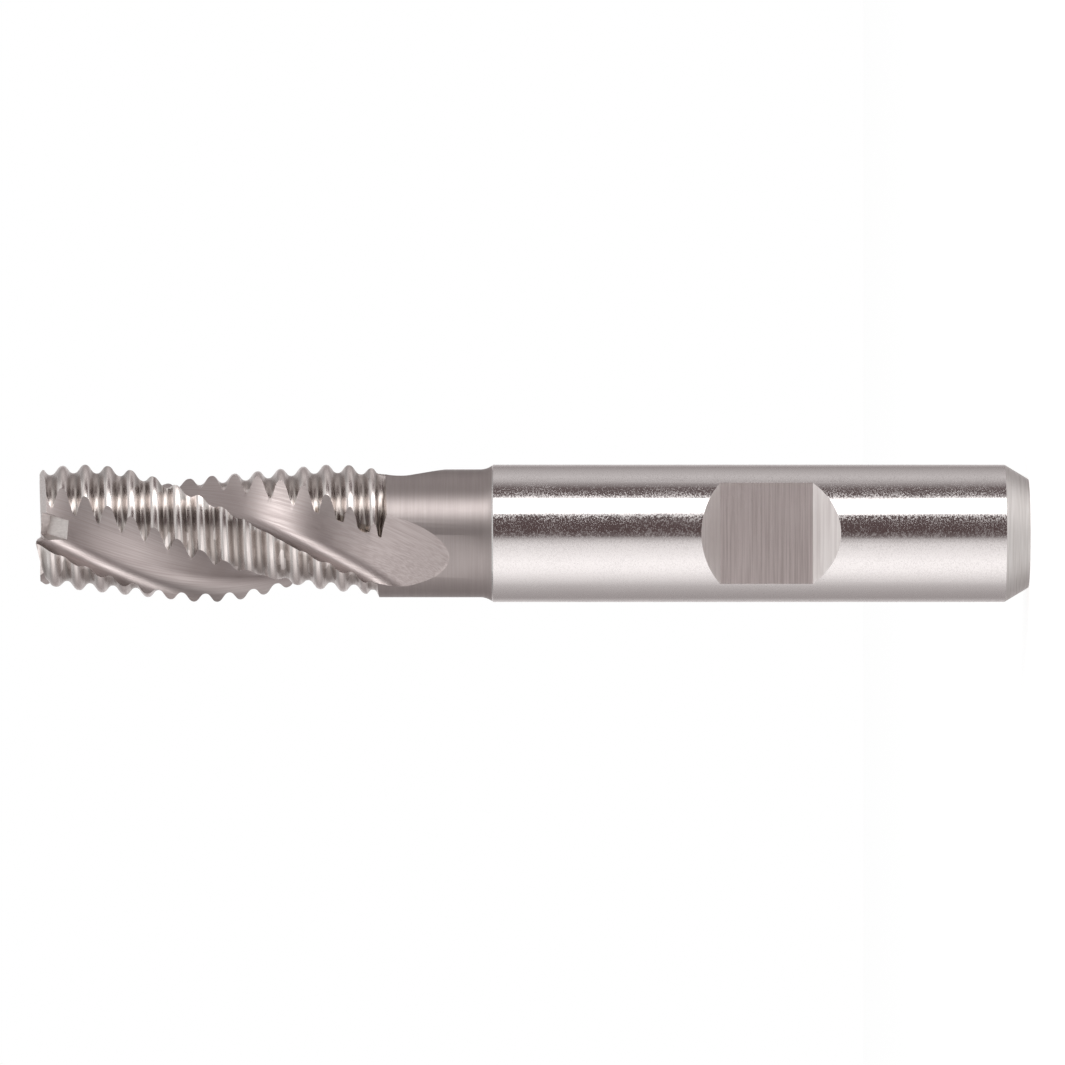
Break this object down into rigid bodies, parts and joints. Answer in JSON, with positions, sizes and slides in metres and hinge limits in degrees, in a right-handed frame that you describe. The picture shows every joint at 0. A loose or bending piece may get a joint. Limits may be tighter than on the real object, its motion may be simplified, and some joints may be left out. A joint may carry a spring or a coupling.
{
  "type": "roughing end mill",
  "caption": "Solid milling cutter with a round shank, a clamping flat, a short neck and a ribbed, fluted, right-hand cutting head.",
  "frame": {"origin": "centre of the shank's flat end face", "axes": "+Z along the tool's axis from the shank end to the cutting tip, -Y out of the clamping flat; the cutter turns clockwise seen along +Z from the shank end"},
  "size_m": [0.01, 0.01, 0.072],
  "materials": {
    "ground_steel": "ground and satin"
  },
  "bodies": {
    "root": {"end_mill": "ground_steel"}
  },
  "joints": []
}
